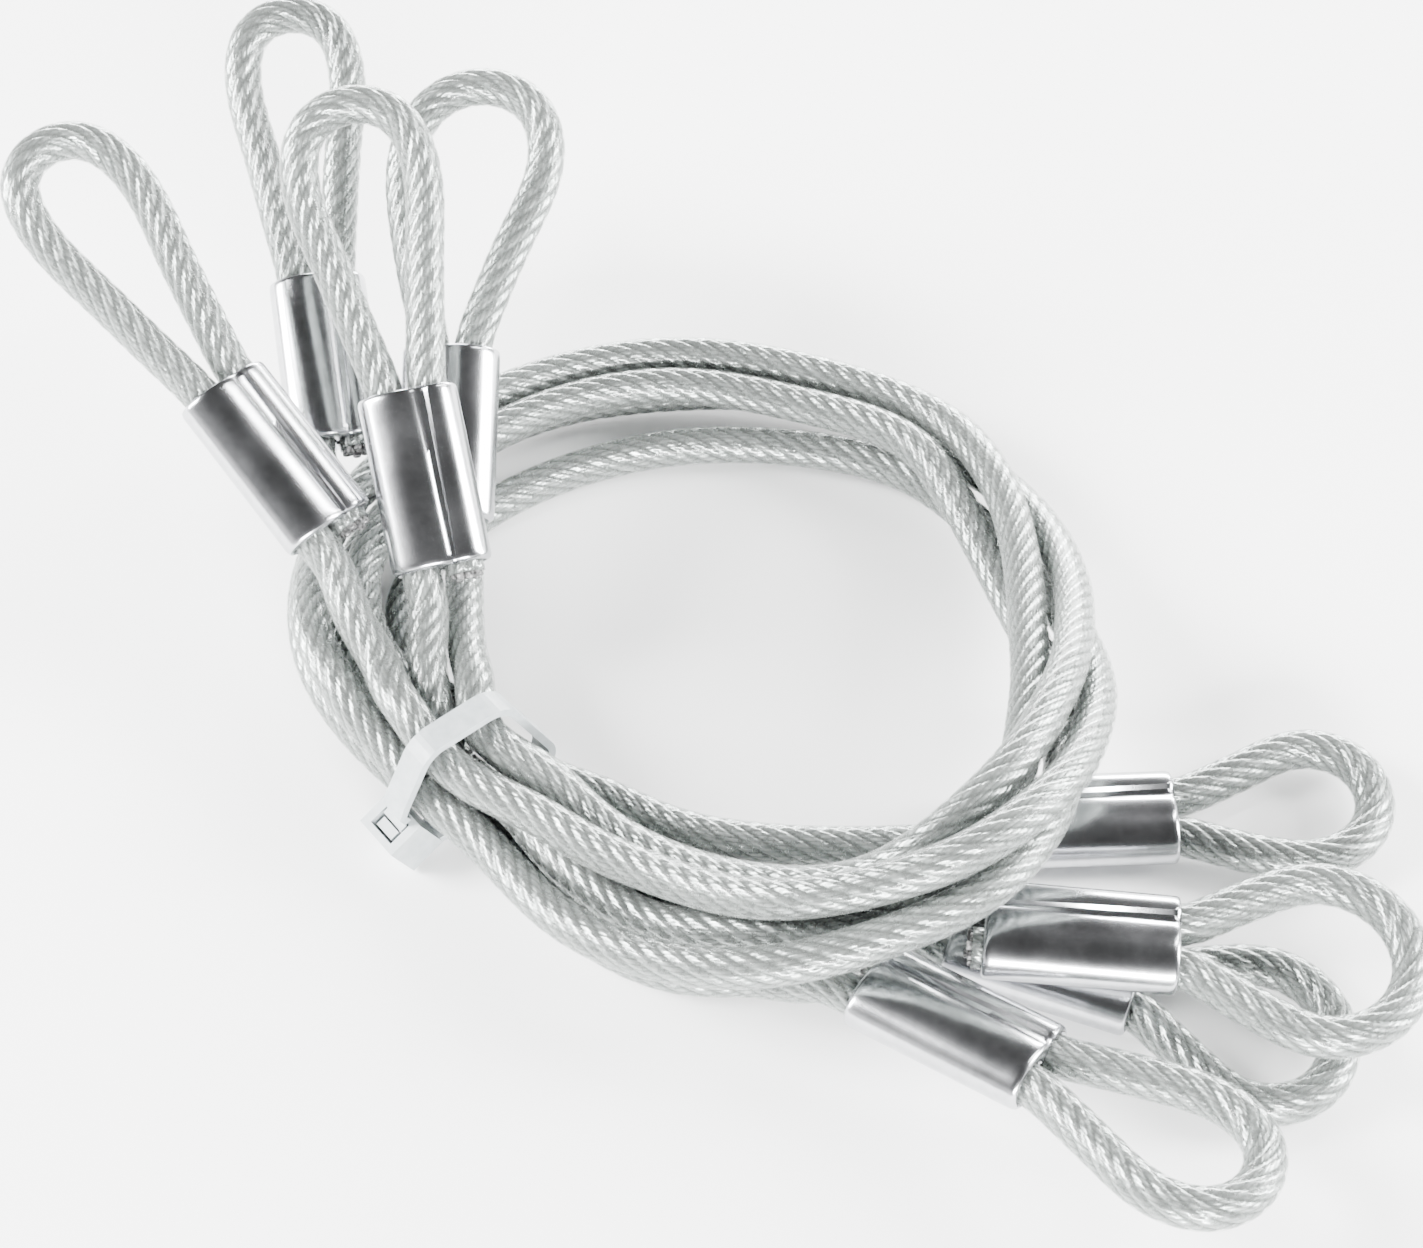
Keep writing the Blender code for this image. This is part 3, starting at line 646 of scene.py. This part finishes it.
def arc(middle, half_width, height, start_x, end_x):
    """Upper part of an ellipse between two places across the sleeve."""
    start, end = (math.acos(max(-1.0, min(1.0, (x - middle) / half_width))) for x in (start_x, end_x))
    return [(middle + half_width * math.cos(angle), height * math.sin(angle))
            for angle in np.linspace(start, end, ARC_POINTS)]


def sleeve_outline(shrink, fold, main):
    """A large and a small barrel with a pressed fold between them, the same above and below.

    fold is half the width of the flat between the barrels. main is the side of the large one.
    """
    half = SLEEVE_HALF - shrink
    large, small = LARGE_BARREL - shrink, SMALL_BARREL - shrink
    top = arc(large - half, large, SLEEVE_HEIGHT - shrink, -half, FOLD_AT - fold)
    small_arc = arc(half - small, small, SLEEVE_HEIGHT - SMALL_BARREL_DROP - shrink,
                    FOLD_AT + fold, half)
    floor = min(top[-1][1], small_arc[0][1]) - FOLD_DEPTH
    top += [(FOLD_AT - 0.5 * fold, floor), (FOLD_AT + 0.5 * fold, floor)] + small_arc
    upper = np.array(top)
    return np.concatenate([upper, upper[-2:0:-1] * (1.0, -1.0)]) * (-main, 1.0)


def bore_outline(radius, count, main):
    """Both bores as one line that crosses from one to the other between them."""
    angles = np.linspace(math.radians(BORE_GAP), math.radians(360 - BORE_GAP), count // 2)
    bore = np.stack([BARREL_OFFSET - radius * np.cos(angles), radius * np.sin(angles)], axis=1)
    half_turn = len(bore) // 2
    line = np.concatenate([-bore[half_turn:], bore, -bore[:half_turn]])
    return line * (-main, 1.0)


def build_sleeve(name, which, terminal, main, material):
    """A pressed sleeve with rounded rims and two bores; main is the side of its large barrel."""
    aim, flat, side = terminal_axes(terminal)
    entry = np.array(terminal["entry"])
    rows = RIM + [(along, 0.0) for along in np.linspace(RIM_CLEAR, SLEEVE_LENGTH - RIM_CLEAR, PLAIN_RINGS)]
    rows += [(SLEEVE_LENGTH - along, shrink) for along, shrink in RIM[::-1]]
    fold_growth = (FOLD_HALF[1] - FOLD_HALF[0]) / SLEEVE_LENGTH
    outlines = [(along, sleeve_outline(shrink, FOLD_HALF[0] + fold_growth * along, main))
                for along, shrink in rows]
    count = len(outlines[0][1])
    flare_radius, flare = BORE_MOUTH
    for along, radius in ((SLEEVE_LENGTH, flare_radius), (SLEEVE_LENGTH - flare, BORE_RADIUS),
                          (flare, BORE_RADIUS), (0.0, flare_radius)):
        outlines.append((along, bore_outline(radius, count, main)))
    points = [entry + np.outer(outline[:, 0], side) + np.outer(outline[:, 1], flat) + aim * along
              for along, outline in outlines]
    rings = len(points)
    faces = tube_faces(rings, count)[:-2]
    for i in range(count):
        j = (i + 1) % count
        faces.append([(rings - 1) * count + i, (rings - 1) * count + j, j, i])
    piece = new_piece(f"pressed_sleeve_{name}_{which}", placed(np.concatenate(points)), faces, material)
    piece.data.set_sharp_from_angle(angle=math.radians(SHARP_EDGE))
    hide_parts(f"sleeve_{name}_{which}")
    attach(piece, f"start_{name}" if which == "start" else "bundle")


def build_cut_ends(name, which, terminal, material):
    """The strands and centre of a rope's cut end, standing out of its coat by uneven lengths."""
    aim, flat, side = terminal_axes(terminal)
    tip = barrel_entry(terminal, -terminal["barrel"]) - aim * TAIL_LENGTH
    spread = rng.uniform(0.0, 2 * math.pi)
    points, faces = [], []
    for strand in range(STRANDS + 1):
        turn = spread + strand * 2 * math.pi / STRANDS
        reach = 0.0 if strand == STRANDS else CUT_STRAND_REACH
        middle = tip + reach * (math.cos(turn) * side + math.sin(turn) * flat)
        length = rng.uniform(*CUT_LENGTHS)
        lean = CUT_LEAN * (math.cos(turn) * side + math.sin(turn) * flat) * rng.uniform(*CUT_LEAN_SHARES)
        start = len(points) * CUT_SIDES
        rings = ((CUT_ROOT, CUT_STRAND_RADIUS), (length - CUT_BEVEL, CUT_STRAND_RADIUS),
                 (length, rng.uniform(*CUT_TIP_RADII)))
        for along, radius in rings:
            angles = np.linspace(0, 2 * math.pi, CUT_SIDES, endpoint=False)
            points.append(middle - aim * along + lean * max(along, 0.0) + radius * (
                np.outer(np.cos(angles), side) + np.outer(np.sin(angles), flat)))
        faces += [[start + corner for corner in face] for face in tube_faces(len(rings), CUT_SIDES)]
    piece = new_piece(f"cut_ends_{name}_{which}", placed(np.concatenate(points)), faces, material, False)
    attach(piece, f"start_{name}" if which == "start" else "bundle")


def dress_tie(material):
    """The tie's own solids, in nylon and with their edges rounded."""
    for name in ("tie_strap", "tie_head", "tie_pawl"):
        tie_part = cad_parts[name]
        for material_slot in tie_part.material_slots:
            material_slot.material = material
        bevel = tie_part.modifiers.new("edges", "BEVEL")
        bevel.width = TIE_EDGE * MM
        bevel.segments = 3


add_camera()
wire = strand_material()
clear_coat = coat_material()
pressed = aluminium_material()
cut_wire = cut_wire_material()
for sling in SLINGS:
    build_ropes(sling, wire, clear_coat)
for sling in SLINGS:
    for which, terminal in (("start", START[sling]), ("end", END[sling])):
        build_sleeve(sling, which, terminal, LARGE_SIDE[which][sling], pressed)
        build_cut_ends(sling, which, terminal, cut_wire)
dress_tie(nylon_material())
add_studio()
